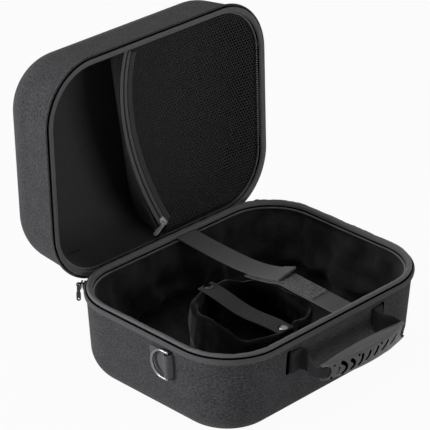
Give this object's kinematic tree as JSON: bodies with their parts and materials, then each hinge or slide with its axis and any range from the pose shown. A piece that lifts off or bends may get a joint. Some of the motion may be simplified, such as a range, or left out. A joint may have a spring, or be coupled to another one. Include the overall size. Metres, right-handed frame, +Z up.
{
  "type": "virtual reality headset case",
  "caption": "Zipped hard case for a virtual reality headset, open on its hinge, with a carrying grip, strap rings, holding straps, a loose pouch and a netted lid pocket.",
  "frame": {"origin": "middle of the base's flat underside, which stands on the table", "axes": "+Z up, -Y the side with the carrying grip, +Y the hinge side and the open lid, +X along the hinge to the right"},
  "size_m": [0.308, 0.3622, 0.3126],
  "materials": {
    "shell_cloth": "fine polyester weave bonded over moulded foam",
    "spine_cloth": "plain woven polyester",
    "velvet": "short-pile knitted velvet",
    "knit": "smooth brushed knit",
    "net": "warp-knitted net with six-sided openings",
    "zip_tape": "twill zip tape",
    "zip_coil": "nylon coil",
    "binding": "folded grosgrain binding",
    "webbing": "ribbed polyester webbing",
    "hook_tape": "hook side of a hook-and-loop tape",
    "loop_tape": "loop side of a hook-and-loop tape",
    "grip_rubber": "matt moulded elastomer",
    "ring_steel": "nickel-plated steel wire and cap",
    "dark_rivet": "black nickel",
    "slider_zinc": "nickel-plated zinc casting"
  },
  "bodies": {
    "base": {"base_shell": "shell_cloth", "base_lining": "velvet", "base_zip_tape": "zip_tape", "base_zip_coil": "zip_coil", "hinge_strip": "spine_cloth", "handle_webbing_left": "webbing", "handle_webbing_right": "webbing", "ring_tab_left": "webbing", "ring_tab_right": "webbing", "hook_strap": "webbing", "hook_patch": "hook_tape", "loop_strap": "webbing", "loop_patch": "loop_tape", "pouch": "velvet", "pouch_strap": "webbing", "pouch_rivet_back": "dark_rivet", "pouch_rivet_front": "ring_steel", "zip_slider_left": "slider_zinc", "zip_slider_right": "slider_zinc"},
    "lid": {"lid_shell": "shell_cloth", "lid_lining": "knit", "lid_zip_tape": "zip_tape", "lid_zip_coil": "zip_coil", "pocket_net": "net", "pocket_binding": "binding", "pocket_zip_tapes": "zip_tape", "pocket_zip_coil": "zip_coil", "pocket_wall": "velvet", "pocket_slider": "slider_zinc"},
    "handle": {"handle_grip": "grip_rubber"},
    "ring_left": {"d_ring_left": "ring_steel"},
    "ring_right": {"d_ring_right": "ring_steel"},
    "pocket_pull": {"pocket_pull": "slider_zinc"},
    "pull_left": {"zip_pull_left": "slider_zinc"},
    "pull_right": {"zip_pull_right": "slider_zinc"}
  },
  "joints": [
    {"name": "lid_hinge", "type": "hinge", "parent": "base", "child": "lid", "pos_m": [0, 0.10868, 0.08866], "axis": [1, 0, 0], "range_deg": [0, 92.5], "deforming": ["hinge_strip"]},
    {"name": "handle_swing", "type": "hinge", "parent": "base", "child": "handle", "pos_m": [0, -0.119, 0.068], "axis": [1, 0, 0], "range_deg": [-40, 40], "stiffness_Nm_per_rad": 0.25, "deforming": ["handle_webbing_left", "handle_webbing_right"]},
    {"name": "ring_left_swing", "type": "hinge", "parent": "base", "child": "ring_left", "pos_m": [-0.1509, -0.0365, 0.068], "axis": [0, 0, 1], "range_deg": [0, 175]},
    {"name": "ring_right_swing", "type": "hinge", "parent": "base", "child": "ring_right", "pos_m": [0.1509, -0.0365, 0.068], "axis": [0, 0, -1], "range_deg": [0, 175]},
    {"name": "pocket_pull_swing", "type": "hinge", "parent": "lid", "child": "pocket_pull", "pos_m": [0.00076, 0.11986, 0.10647], "axis": [-0.497, 0.0379, 0.8669], "range_deg": [0, 175]},
    {"name": "pull_left_swing", "type": "hinge", "parent": "base", "child": "pull_left", "pos_m": [-0.12642, 0.11095, 0.0881], "axis": [0.829, 0.5592, 0], "range_deg": [0, 80]},
    {"name": "pull_right_swing", "type": "hinge", "parent": "base", "child": "pull_right", "pos_m": [0.12642, 0.11095, 0.0881], "axis": [0.829, -0.5592, 0], "range_deg": [0, 80]}
  ]
}
